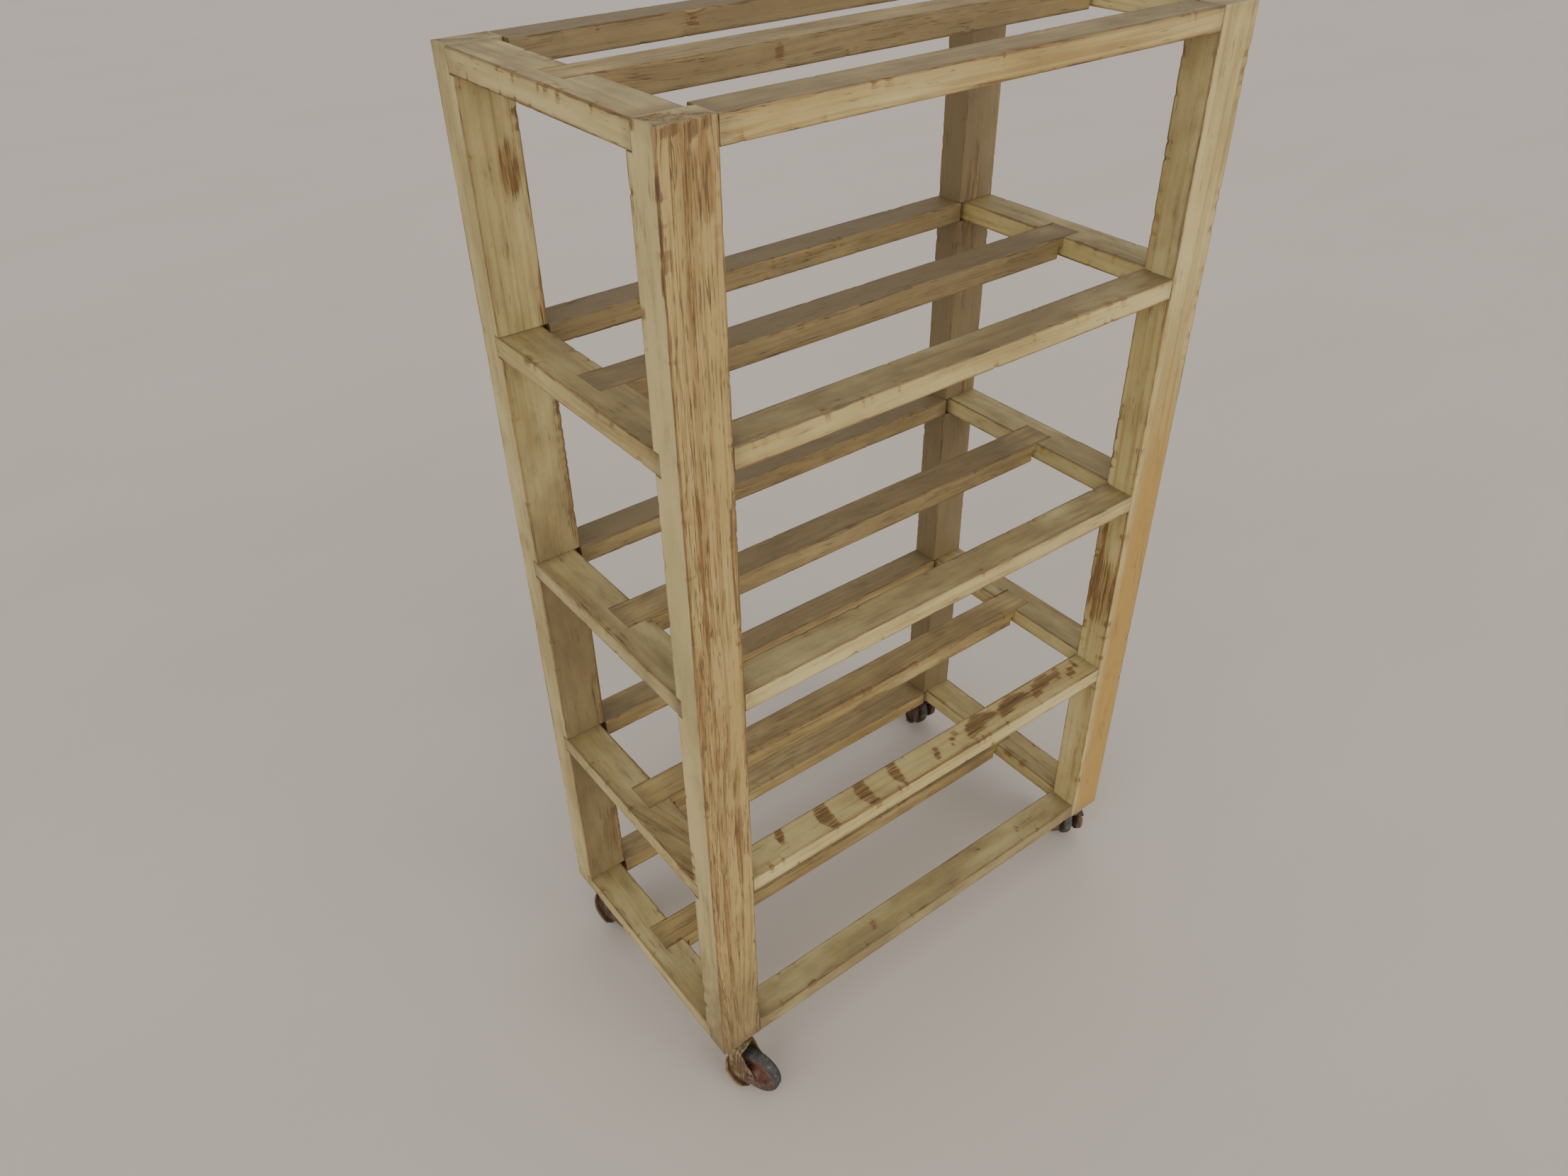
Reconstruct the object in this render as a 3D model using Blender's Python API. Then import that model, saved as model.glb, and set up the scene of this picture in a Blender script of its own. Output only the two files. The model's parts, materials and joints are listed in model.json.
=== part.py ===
"""Rolling book cart: an open rack of painted softwood on four small swivel casters.

Four rectangular posts carry five levels. A level is two long rails tenoned into the posts, two end
rails housed in them, and one middle slat that is half-lapped onto the end rails. A socket in the foot
of each post takes the stem of a caster, whose fork swivels and trails its rubber-tyred wheel.

Metres, +Z up, the floor at z = 0. The long side runs along X and the front faces -Y. The origin is the
centre of the footprint of everything, so it moves a little with the rest angles of the casters.
"""

import math

import bmesh
import bpy
from mathutils import Matrix, Vector

# Frame: outer size, timber sections and the height of each level's top above the posts' feet.
FRAME_LENGTH = 0.750
FRAME_DEPTH = 0.396
FRAME_HEIGHT = 1.205
POST_X = 0.060
POST_Y = 0.043
RAIL_THICKNESS = 0.0255
LONG_RAIL_WIDTH = 0.045
END_RAIL_WIDTH = 0.052
SLAT_WIDTH = 0.046
SLAT_THICKNESS = 0.027
LEVEL_TOPS = (FRAME_HEIGHT, 0.914, 0.616, 0.318, RAIL_THICKNESS)
ARRIS = 0.0015

# Joinery: the end rails' housings, the long rails' stub tenons and the slats' half laps.
FIT_GAP = 0.0003
HOUSING_DEPTH = 0.010
TENON_LENGTH = 0.018
TENON_WIDTH = 0.020
TENON_THICKNESS = 0.012
TENON_SHOULDER = 0.008
LAP_THICKNESS = 0.012
LAP_LENGTH = 0.030
CUT_PAST = 0.005

# Caster: wheel, trail of the wheel behind the swivel axis, and the heights of the stacked pieces.
WHEEL_RADIUS = 0.0375
TYRE_WIDTH = 0.015
TREAD_CROWN = 0.0015
TYRE_SEAT_RADIUS = 0.023
TRAIL = 0.036
CASTER_HEIGHT = 0.098
FORK_INNER_WIDTH = 0.029
FORK_SHEET = 0.0025
FORK_BEND_RADIUS = 0.005
FORK_CROWN_TOP = 0.083
FORK_CROWN_FRONT = -0.017
FORK_CROWN_REAR = 0.023
FORK_CROWN_SKIRT = 0.014
FORK_EYE_RADIUS = 0.009
FORK_LEG_CENTRE = (0.022, 0.038)
FORK_LEG_RADIUS = 0.022
FORK_LEG_TOP = 0.066
FORK_LEG_BACK = ((0.036, 0.053), (0.029, 0.062), (0.024, 0.079))
FORK_FLANGE_REACH = 0.025
FORK_FLANGE_PROUD = 0.0004
FORK_FLANGE_TOP = 0.063
CUP_RADIUS = 0.0165
CUP_HEIGHT = 0.0120
FLANGE_RADIUS = 0.0185
FLANGE_THICKNESS = 0.0018
SOCKET_RADIUS = 0.0070
SOCKET_LENGTH = 0.040
STEM_RADIUS = 0.0049
STEM_HOLE_RADIUS = 0.0052
STEM_LENGTH_IN_POST = 0.036
STEM_HEAD_RADIUS = 0.0080
STEM_HEAD_THICKNESS = 0.0022
AXLE_RADIUS = 0.0039
AXLE_HOLE_RADIUS = 0.0042
AXLE_HEAD_RADIUS = 0.0070
AXLE_HEAD_THICKNESS = 0.0028
HUB_BOSS_RADIUS = 0.0095
HUB_BOSS_WIDTH = 0.0270
HUB_RIM_WIDTH = 0.0125
HUB_DISH_DEPTH = 0.0030

# Where the corners lie as signs along X and Y, and the way each caster's wheel trails, in degrees
# about +Z from +X.
CORNERS = {
    "front_left": (-1, -1, -69.0),
    "front_right": (1, -1, 60.0),
    "back_right": (1, 1, 85.0),
    "back_left": (-1, 1, -80.0),
}

WHEEL_STEPS = 32
TURNED_STEPS = 20
FORK_CURVE_STEPS = 9


def clear_scene():
    for item in list(bpy.data.objects):
        bpy.data.objects.remove(item, do_unlink=True)


def make_material(name, colour, roughness, metallic=0.0):
    """A plain Principled material in linear RGB."""
    material = bpy.data.materials.new(name)
    material.use_nodes = True
    shader = material.node_tree.nodes["Principled BSDF"]
    shader.inputs["Base Color"].default_value = (*colour, 1.0)
    shader.inputs["Roughness"].default_value = roughness
    shader.inputs["Metallic"].default_value = metallic
    return material


def make_empty(name, parent=None, location=(0, 0, 0), turn=0.0):
    empty = bpy.data.objects.new(name, None)
    bpy.context.collection.objects.link(empty)
    empty.parent = parent
    empty.location = location
    empty.rotation_euler = (0, 0, turn)
    return empty


def make_object(name, bm, material, parent, location=(0, 0, 0)):
    """Turns a bmesh into a named object with outward faces."""
    bmesh.ops.recalc_face_normals(bm, faces=bm.faces)
    mesh = bpy.data.meshes.new(name)
    bm.to_mesh(mesh)
    bm.free()
    mesh.materials.append(material)
    item = bpy.data.objects.new(name, mesh)
    bpy.context.collection.objects.link(item)
    item.parent = parent
    item.location = location
    return item


def add_box(bm, low, high, bevel=0.0):
    """Adds a box between two corners, with its edges bevelled by a flat arris if asked."""
    low, high = Vector(low), Vector(high)
    size = high - low
    place = Matrix.Translation((low + high) / 2) @ Matrix.Diagonal((*size, 1.0))
    made = bmesh.ops.create_cube(bm, size=1.0, matrix=place)
    if bevel:
        edges = {edge for vertex in made["verts"] for edge in vertex.link_edges}
        bmesh.ops.bevel(bm, geom=list(edges), offset=bevel, segments=1, affect="EDGES")


def add_prism(bm, outline, along, low, high):
    """Adds an outline, given as pairs, extruded along an axis from low to high.

    along is 0, 1 or 2; a pair holds the other two coordinates in X, Y, Z order.
    """
    rings = []
    for level in (low, high):
        ring = []
        for pair in outline:
            point = list(pair)
            point.insert(along, level)
            ring.append(bm.verts.new(point))
        rings.append(ring)
    bm.faces.new(rings[0])
    bm.faces.new(rings[1])
    count = len(outline)
    for i in range(count):
        j = (i + 1) % count
        bm.faces.new((rings[0][i], rings[0][j], rings[1][j], rings[1][i]))


def add_turned(bm, profile, steps, axis="Z"):
    """Adds a body turned about an axis through the origin from a profile of (radius, height) pairs.

    A profile that starts and ends at radius 0 is closed by its two poles; any other one is joined end
    to end, which leaves a hole through the middle.
    """
    solid = profile[0][0] == 0.0
    ring_points = profile[1:-1] if solid else profile
    rings = []
    for radius, height in ring_points:
        ring = []
        for step in range(steps):
            angle = 2 * math.pi * step / steps
            across = (radius * math.cos(angle), radius * math.sin(angle))
            point = (*across, height) if axis == "Z" else (across[0], height, across[1])
            ring.append(bm.verts.new(point))
        rings.append(ring)
    spans = list(zip(rings, rings[1:]))
    if not solid:
        spans.append((rings[-1], rings[0]))
    for lower, upper in spans:
        for i in range(steps):
            j = (i + 1) % steps
            bm.faces.new((lower[i], lower[j], upper[j], upper[i]))
    if solid:
        for (_, height), ring in ((profile[0], rings[0]), (profile[-1], rings[-1])):
            pole = bm.verts.new((0, 0, height) if axis == "Z" else (0, height, 0))
            for i in range(steps):
                bm.faces.new((pole, ring[i], ring[(i + 1) % steps]))


def shade_round(item, sharp_angle=math.radians(35)):
    item.data.shade_smooth()
    item.data.set_sharp_from_angle(angle=sharp_angle)


def cut(item, bm, operation="DIFFERENCE"):
    """Adds a Boolean of a hidden cutter that shares the item's parent and place."""
    cutter = make_object(item.name + "_cutter", bm, item.data.materials[0], item.parent, item.location)
    cutter.hide_render = True
    cutter.display_type = "WIRE"
    modifier = item.modifiers.new(cutter.name, "BOOLEAN")
    modifier.operation = operation
    modifier.solver = "EXACT"
    modifier.object = cutter


def make_post(name, parent, material, side_x, side_y):
    """A post with a housing and a mortise at each level and a bore for the caster's socket.

    The housings face the other post of the same end, and the mortises the other end.
    """
    bm = bmesh.new()
    half_x, half_y = POST_X / 2, POST_Y / 2
    add_box(bm, (-half_x, -half_y, 0), (half_x, half_y, FRAME_HEIGHT), ARRIS)
    place = (side_x * (FRAME_LENGTH / 2 - half_x), side_y * (FRAME_DEPTH / 2 - half_y), CASTER_HEIGHT)
    post = make_object(name, bm, material, parent, place)

    housings = bmesh.new()
    mortises = bmesh.new()
    for top in LEVEL_TOPS:
        bottom = top - RAIL_THICKNESS
        is_top = top >= FRAME_HEIGHT
        is_bottom = bottom <= 0
        low_z = bottom - (CUT_PAST if is_bottom else FIT_GAP)
        high_z = top + (CUT_PAST if is_top else FIT_GAP)
        ys = sorted((-side_y * (half_y - HOUSING_DEPTH), -side_y * (half_y + CUT_PAST)))
        add_box(housings, (-half_x - CUT_PAST, ys[0], low_z), (half_x + CUT_PAST, ys[1], high_z))

        middle_z = top - RAIL_THICKNESS / 2
        reach_z = TENON_THICKNESS / 2 + FIT_GAP
        xs = sorted((-side_x * (half_x - TENON_LENGTH), -side_x * (half_x + CUT_PAST)))
        near_y = side_y * (half_y - TENON_SHOULDER + FIT_GAP)
        far_y = side_y * (half_y - TENON_SHOULDER - TENON_WIDTH - FIT_GAP)
        ys = sorted((near_y, far_y))
        add_box(mortises, (xs[0], ys[0], middle_z - reach_z), (xs[1], ys[1], middle_z + reach_z))
    cut(post, housings)
    cut(post, mortises)

    bore = bmesh.new()
    bore_radius = SOCKET_RADIUS + FIT_GAP
    bore_top = SOCKET_LENGTH + CUT_PAST
    profile = ((0.0, -CUT_PAST), (bore_radius, -CUT_PAST), (bore_radius, bore_top), (0.0, bore_top))
    add_turned(bore, profile, TURNED_STEPS)
    cut(post, bore)


def make_long_rail(name, parent, material, side_y, top):
    """A rail along X with a stub tenon at each end, set towards the outer face."""
    half_length = FRAME_LENGTH / 2 - POST_X - FIT_GAP
    half_width, half_thick = LONG_RAIL_WIDTH / 2, RAIL_THICKNESS / 2
    tip = half_length + TENON_LENGTH - FIT_GAP
    middle = side_y * (half_width - TENON_SHOULDER - TENON_WIDTH / 2)
    bar = (-half_width, half_width, -half_thick, half_thick)
    tenon = (middle - TENON_WIDTH / 2, middle + TENON_WIDTH / 2, -TENON_THICKNESS / 2, TENON_THICKNESS / 2)
    sections = (
        (-tip, tenon),
        (-half_length, tenon),
        (-half_length, bar),
        (half_length, bar),
        (half_length, tenon),
        (tip, tenon),
    )
    bm = bmesh.new()
    rings = []
    for x, (low_y, high_y, low_z, high_z) in sections:
        corners = ((low_y, low_z), (high_y, low_z), (high_y, high_z), (low_y, high_z))
        rings.append([bm.verts.new((x, y, z)) for y, z in corners])
    for lower, upper in zip(rings, rings[1:]):
        for i in range(4):
            j = (i + 1) % 4
            bm.faces.new((lower[i], lower[j], upper[j], upper[i]))
    bm.faces.new(rings[0])
    bm.faces.new(rings[-1])
    place = (0, side_y * (FRAME_DEPTH / 2 - half_width), CASTER_HEIGHT + top - half_thick)
    make_object(name, bm, material, parent, place)


def make_end_rail(name, parent, material, side_x, top):
    """A rail along Y, housed in two posts, with a pocket in its top for the middle slat's lap."""
    half_length = FRAME_DEPTH / 2 - POST_Y + HOUSING_DEPTH - FIT_GAP
    half_width, half_thick = END_RAIL_WIDTH / 2, RAIL_THICKNESS / 2
    bm = bmesh.new()
    add_box(bm, (-half_width, -half_length, -half_thick), (half_width, half_length, half_thick), ARRIS / 2)
    place = (side_x * (FRAME_LENGTH / 2 - half_width), 0, CASTER_HEIGHT + top - half_thick)
    rail = make_object(name, bm, material, parent, place)

    pocket = bmesh.new()
    xs = sorted((-side_x * (half_width - LAP_LENGTH), -side_x * (half_width + CUT_PAST)))
    half_slat = SLAT_WIDTH / 2 + FIT_GAP
    floor_z = half_thick - LAP_THICKNESS - FIT_GAP
    add_box(pocket, (xs[0], -half_slat, floor_z), (xs[1], half_slat, half_thick + CUT_PAST))
    cut(rail, pocket)


def make_middle_slat(name, parent, material, top):
    """A slat along X whose thinned ends lap into the end rails, clear of their inner faces below."""
    shoulder = FRAME_LENGTH / 2 - POST_X
    tip = FRAME_LENGTH / 2 - END_RAIL_WIDTH + LAP_LENGTH - FIT_GAP
    outline = (
        (-tip, 0),
        (-tip, -LAP_THICKNESS),
        (-shoulder, -LAP_THICKNESS),
        (-shoulder, -SLAT_THICKNESS),
        (shoulder, -SLAT_THICKNESS),
        (shoulder, -LAP_THICKNESS),
        (tip, -LAP_THICKNESS),
        (tip, 0),
    )
    bm = bmesh.new()
    add_prism(bm, outline, 1, -SLAT_WIDTH / 2, SLAT_WIDTH / 2)
    make_object(name, bm, material, parent, (0, 0, CASTER_HEIGHT + top))


def make_level(number, top, parent, material):
    prefix = f"level{number}"
    make_long_rail(f"{prefix}_front_rail", parent, material, -1, top)
    make_long_rail(f"{prefix}_back_rail", parent, material, 1, top)
    make_end_rail(f"{prefix}_left_end_rail", parent, material, -1, top)
    make_end_rail(f"{prefix}_right_end_rail", parent, material, 1, top)
    make_middle_slat(f"{prefix}_middle_slat", parent, material, top)


def make_socket(name, parent, material, place):
    """A flanged steel sleeve, driven up into the foot of a post."""
    flange_top = CASTER_HEIGHT - FIT_GAP
    flange_bottom = flange_top - FLANGE_THICKNESS
    sleeve_top = CASTER_HEIGHT + SOCKET_LENGTH
    profile = (
        (STEM_HOLE_RADIUS, flange_bottom),
        (FLANGE_RADIUS - FLANGE_THICKNESS / 2, flange_bottom),
        (FLANGE_RADIUS, flange_top),
        (SOCKET_RADIUS, flange_top),
        (SOCKET_RADIUS, sleeve_top),
        (STEM_HOLE_RADIUS, sleeve_top),
    )
    bm = bmesh.new()
    add_turned(bm, profile, TURNED_STEPS)
    shade_round(make_object(name, bm, material, parent, place))


def make_stem(name, parent, material):
    """The swivel pin, headed under the fork's crown, with a tapered tip inside the socket."""
    head_top = FORK_CROWN_TOP - FORK_SHEET - FIT_GAP
    tip = CASTER_HEIGHT + STEM_LENGTH_IN_POST
    profile = (
        (0.0, head_top - STEM_HEAD_THICKNESS),
        (STEM_HEAD_RADIUS * 0.8, head_top - STEM_HEAD_THICKNESS),
        (STEM_HEAD_RADIUS, head_top - STEM_HEAD_THICKNESS / 2),
        (STEM_HEAD_RADIUS, head_top),
        (STEM_RADIUS, head_top),
        (STEM_RADIUS, tip - STEM_RADIUS),
        (STEM_RADIUS * 0.6, tip),
        (0.0, tip),
    )
    bm = bmesh.new()
    add_turned(bm, profile, TURNED_STEPS)
    shade_round(make_object(name, bm, material, parent))


def make_bearing_cup(name, parent, material):
    """The pressed cup over the swivel balls, between the fork's crown and the socket's flange."""
    low = FORK_CROWN_TOP + FIT_GAP
    high = low + CUP_HEIGHT
    profile = (
        (STEM_HOLE_RADIUS, low),
        (CUP_RADIUS, low),
        (CUP_RADIUS, low + CUP_HEIGHT * 0.55),
        (CUP_RADIUS * 0.82, low + CUP_HEIGHT * 0.75),
        (CUP_RADIUS * 0.82, high),
        (STEM_HOLE_RADIUS, high),
    )
    bm = bmesh.new()
    add_turned(bm, profile, TURNED_STEPS)
    shade_round(make_object(name, bm, material, parent))


def arc(centre, radius, start, end):
    """Points along an arc, with the angles in degrees."""
    points = []
    for step in range(FORK_CURVE_STEPS + 1):
        angle = math.radians(start + (end - start) * step / FORK_CURVE_STEPS)
        points.append((centre[0] + radius * math.cos(angle), centre[1] + radius * math.sin(angle)))
    return points


def fork_leg_edge(inset, top, end_angle):
    """A leg's front edge and round lower edge, moved in by an inset, from a height to an angle."""
    front = FORK_LEG_CENTRE[0] - FORK_LEG_RADIUS
    return [(front + inset, top), *arc(FORK_LEG_CENTRE, FORK_LEG_RADIUS - inset, 180, end_angle)]


def fork_side_outline():
    """The fork's side view: a crown over the swivel axis and round-bottomed legs that hold the axle."""
    return [
        (FORK_CROWN_REAR, FORK_CROWN_TOP),
        (FORK_CROWN_FRONT, FORK_CROWN_TOP),
        (FORK_CROWN_FRONT, FORK_CROWN_TOP - FORK_CROWN_SKIRT),
        *fork_leg_edge(0.0, FORK_LEG_TOP, 310),
        *arc((TRAIL, WHEEL_RADIUS), FORK_EYE_RADIUS, -40, 35),
        *FORK_LEG_BACK,
    ]


def fork_section_outline():
    """The fork's end view, open at the bottom: an arch of sheet with rounded upper corners."""
    outer = FORK_INNER_WIDTH / 2 + FORK_SHEET
    foot = 0.0
    points = []
    for reach, radius, crown in (
        (outer, FORK_BEND_RADIUS, FORK_CROWN_TOP),
        (outer - FORK_SHEET, FORK_BEND_RADIUS - FORK_SHEET, FORK_CROWN_TOP - FORK_SHEET),
    ):
        side = [(-reach, foot)]
        for centre_x, start in ((-reach + radius, 180), (reach - radius, 90)):
            for step in range(3):
                angle = math.radians(start - 45 * step)
                side.append((centre_x + radius * math.cos(angle), crown - radius + radius * math.sin(angle)))
        side.append((reach, foot))
        points += side if reach == outer else side[::-1]
    return points


def make_fork(name, parent, material):
    """The pressed-steel fork: an arch of sheet trimmed to the side view, holed for stem and axle."""
    bm = bmesh.new()
    rear = TRAIL + FORK_EYE_RADIUS + CUT_PAST
    add_prism(bm, fork_section_outline(), 0, FORK_CROWN_FRONT - CUT_PAST, rear)
    fork = make_object(name, bm, material, parent)

    trim = bmesh.new()
    reach = FORK_INNER_WIDTH / 2 + FORK_SHEET + CUT_PAST
    add_prism(trim, fork_side_outline(), 1, -reach, reach)
    cut(fork, trim, "INTERSECT")

    flanges = bmesh.new()
    outer_edge = fork_leg_edge(-FORK_FLANGE_PROUD, FORK_FLANGE_TOP, 300)
    inner_edge = fork_leg_edge(FORK_SHEET - FORK_FLANGE_PROUD, FORK_FLANGE_TOP, 300)
    strip = outer_edge + inner_edge[::-1]
    root = FORK_INNER_WIDTH / 2 + FORK_SHEET / 4
    add_prism(flanges, strip, 1, -FORK_FLANGE_REACH, -root)
    add_prism(flanges, strip, 1, root, FORK_FLANGE_REACH)
    cut(fork, flanges, "UNION")

    stem_hole = bmesh.new()
    low, high = FORK_CROWN_TOP - 2 * FORK_SHEET, FORK_CROWN_TOP + CUT_PAST
    hole = ((0.0, low), (STEM_HOLE_RADIUS, low), (STEM_HOLE_RADIUS, high), (0.0, high))
    add_turned(stem_hole, hole, TURNED_STEPS)
    cut(fork, stem_hole)

    axle_hole = bmesh.new()
    hole = ((0.0, -reach), (AXLE_HOLE_RADIUS, -reach), (AXLE_HOLE_RADIUS, reach), (0.0, reach))
    add_turned(axle_hole, hole, TURNED_STEPS, "Y")
    bmesh.ops.translate(axle_hole, verts=axle_hole.verts, vec=(TRAIL, 0, WHEEL_RADIUS))
    cut(fork, axle_hole)


def make_axle(name, parent, material):
    """The axle rivet across the fork, with a domed head outside each leg."""
    seat = FORK_INNER_WIDTH / 2 + FORK_SHEET + FIT_GAP
    end = seat + AXLE_HEAD_THICKNESS
    half = (
        (0.0, end),
        (AXLE_HEAD_RADIUS * 0.6, end),
        (AXLE_HEAD_RADIUS, seat + AXLE_HEAD_THICKNESS * 0.4),
        (AXLE_HEAD_RADIUS, seat),
        (AXLE_RADIUS, seat),
    )
    profile = [(radius, -offset) for radius, offset in half] + list(half[::-1])
    bm = bmesh.new()
    add_turned(bm, profile, TURNED_STEPS, "Y")
    shade_round(make_object(name, bm, material, parent, (TRAIL, 0, WHEEL_RADIUS)))


def make_wheel_centre(name, parent, material):
    """The dished wheel disc with its boss, bored for the axle."""
    seat_radius = TYRE_SEAT_RADIUS - FIT_GAP
    boss, rim = HUB_BOSS_WIDTH / 2, HUB_RIM_WIDTH / 2
    half = (
        (AXLE_HOLE_RADIUS, boss),
        (HUB_BOSS_RADIUS, boss),
        (HUB_BOSS_RADIUS * 1.15, rim - HUB_DISH_DEPTH),
        (seat_radius * 0.86, rim - HUB_DISH_DEPTH),
        (seat_radius * 0.90, rim),
        (seat_radius, rim),
    )
    profile = list(half) + [(radius, -offset) for radius, offset in half[::-1]]
    bm = bmesh.new()
    add_turned(bm, profile, WHEEL_STEPS, "Y")
    shade_round(make_object(name, bm, material, parent))


def make_tyre(name, parent, material):
    """A solid rubber tyre with a rounded tread."""
    half_width = TYRE_WIDTH / 2
    tread = []
    steps = 6
    for step in range(steps + 1):
        angle = math.pi * step / steps
        radius = WHEEL_RADIUS - TREAD_CROWN * (1 - math.sin(angle))
        tread.append((radius, half_width * math.cos(angle)))
    profile = [(TYRE_SEAT_RADIUS, half_width * 0.8), *tread, (TYRE_SEAT_RADIUS, -half_width * 0.8)]
    bm = bmesh.new()
    add_turned(bm, profile, WHEEL_STEPS, "Y")
    shade_round(make_object(name, bm, material, parent))


def make_caster(corner, side_x, side_y, trail_angle, parent, materials):
    """One caster: the socket stays with the frame, the rest turns with the swivel or the wheel."""
    prefix = f"caster_{corner}"
    place = (side_x * (FRAME_LENGTH / 2 - POST_X / 2), side_y * (FRAME_DEPTH / 2 - POST_Y / 2), 0)
    make_socket(f"{prefix}_socket", parent, materials["zinc"], place)
    swivel = make_empty(f"swivel_axis_{corner}", parent, place, math.radians(trail_angle))
    make_stem(f"{prefix}_stem", swivel, materials["steel"])
    make_bearing_cup(f"{prefix}_bearing_cup", swivel, materials["zinc"])
    make_fork(f"{prefix}_fork", swivel, materials["painted_steel"])
    make_axle(f"{prefix}_axle", swivel, materials["steel"])
    wheel = make_empty(f"wheel_axis_{corner}", swivel, (TRAIL, 0, WHEEL_RADIUS))
    make_wheel_centre(f"{prefix}_wheel_centre", wheel, materials["red_oxide"])
    make_tyre(f"{prefix}_tyre", wheel, materials["rubber"])


def centre_over_origin(root):
    """Moves the root so that the footprint of every solid is centred on the Z axis."""
    bpy.context.view_layer.update()
    solids = [item for item in bpy.data.objects if item.type == "MESH" and not item.hide_render]
    points = [item.matrix_world @ vertex.co for item in solids for vertex in item.data.vertices]
    for axis in (0, 1):
        values = [point[axis] for point in points]
        root.location[axis] -= (min(values) + max(values)) / 2


def build():
    clear_scene()
    timber = make_material("painted_softwood", (0.42, 0.37, 0.21), 0.62)
    materials = {
        "painted_steel": make_material("painted_steel", (0.34, 0.27, 0.13), 0.55),
        "zinc": make_material("dull_zinc", (0.12, 0.11, 0.10), 0.55, 0.8),
        "steel": make_material("worn_steel", (0.23, 0.22, 0.21), 0.42, 0.9),
        "red_oxide": make_material("red_oxide_disc", (0.12, 0.045, 0.03), 0.6),
        "rubber": make_material("grey_rubber", (0.06, 0.055, 0.05), 0.75),
    }
    root = make_empty("cart")
    for corner, (side_x, side_y, trail_angle) in CORNERS.items():
        make_post(f"post_{corner}", root, timber, side_x, side_y)
        make_caster(corner, side_x, side_y, trail_angle, root, materials)
    for number, top in enumerate(LEVEL_TOPS, start=1):
        make_level(number, top, root, timber)
    centre_over_origin(root)


build()
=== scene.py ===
"""Looks of the worn painted book cart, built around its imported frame."""

import json
import math

import bmesh
import bpy
import numpy as np
from mathutils import Matrix, Vector


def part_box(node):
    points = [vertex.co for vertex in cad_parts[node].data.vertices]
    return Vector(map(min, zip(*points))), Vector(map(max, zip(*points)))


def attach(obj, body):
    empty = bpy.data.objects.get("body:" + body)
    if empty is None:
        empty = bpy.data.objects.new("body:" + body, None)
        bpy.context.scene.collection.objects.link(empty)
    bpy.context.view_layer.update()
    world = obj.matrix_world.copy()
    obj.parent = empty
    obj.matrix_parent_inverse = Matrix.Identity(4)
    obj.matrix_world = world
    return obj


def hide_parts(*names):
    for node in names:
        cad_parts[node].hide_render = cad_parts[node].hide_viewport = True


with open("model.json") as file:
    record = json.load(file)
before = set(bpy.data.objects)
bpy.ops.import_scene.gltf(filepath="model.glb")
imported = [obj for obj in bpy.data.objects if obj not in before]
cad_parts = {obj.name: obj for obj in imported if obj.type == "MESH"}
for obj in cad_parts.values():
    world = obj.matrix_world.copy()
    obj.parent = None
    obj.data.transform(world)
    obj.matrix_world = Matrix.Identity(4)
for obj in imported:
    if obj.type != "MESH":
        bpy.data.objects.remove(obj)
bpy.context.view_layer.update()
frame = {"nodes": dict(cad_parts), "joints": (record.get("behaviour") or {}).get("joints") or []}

CORNERS = ("front_left", "front_right", "back_right", "back_left")
LEVELS = (1, 2, 3, 4, 5)
JOINTS = {joint["name"]: joint for joint in frame["joints"]}

# Timber: how close together the mesh rows lie, and how far the arrises are worn.
ROW_STEP = 0.0036
FINE_ROW_STEP = 0.0016
ARRIS_MIN = 0.0011
ARRIS_MAX = 0.0022
CHIP_DEPTH = 0.0024
FACE_DIP = 0.00035
PROFILE_STEP = 0.0065
CLEARANCE = 0.0003      # between timbers that meet
HOUSING_DEPTH = 0.0123  # cut in the end rails, under the middle slat's lap
LAP_DEPTH = 0.012       # left of the middle slat at its ends

# Paint, by level from the top: stain is dirt all over together with painted shade, most of it on the back rails
# and the back right post, dust makes the top faces darker, tan is golden wood showing.
SLAT_STAIN = (0.52, 0.50, 0.44, 0.26, 0.28)
SLAT_TOP_DARKENING = (-0.20, 0.20, 0.14, 0.14, 0.14)
END_STAIN = (0.04, 0.0, 0.26, 0.08, 0.08)
END_TOP_DARKENING = (0.24, 0.27, 0.06, 0.22, 0.14)
RAIL_STAIN = (0.06, 0.04, 0.04, 0.02, 0.42)
RAIL_TOP_DARKENING = (0.40, 0.40, 0.31, 0.10, -0.10)
RAIL_TAN = (0.26, 0.14, 0.10, 0.08, 0.04)
# The back rails' stain is dirt and painted shade.
BACK_RAIL_STAIN_AND_SHADE = (0.55, 0.47, 0.42, 0.30, 0.22)
BACK_RAIL_TOP_DARKENING = (0.22, 0.27, 0.26, 0.18, 0.14)
BACK_RAIL_TAN = 0.26
# On the back right post the stain is mostly painted shade; on the other posts it is dirt.
POST_STAIN_AND_SHADE = {"front_left": 0.05, "front_right": 0.02, "back_left": 0.12, "back_right": 0.70}
POST_TAN = {"front_left": 0.04, "front_right": 0.10, "back_left": 0.06, "back_right": 0.22}
# Fork darkening per caster: dirt, and on the three casters other than the near one also painted shade.
FORK_DIRT_AND_SHADE = {"front_left": 0.0, "front_right": 0.85, "back_right": 0.95, "back_left": 0.80}

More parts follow.
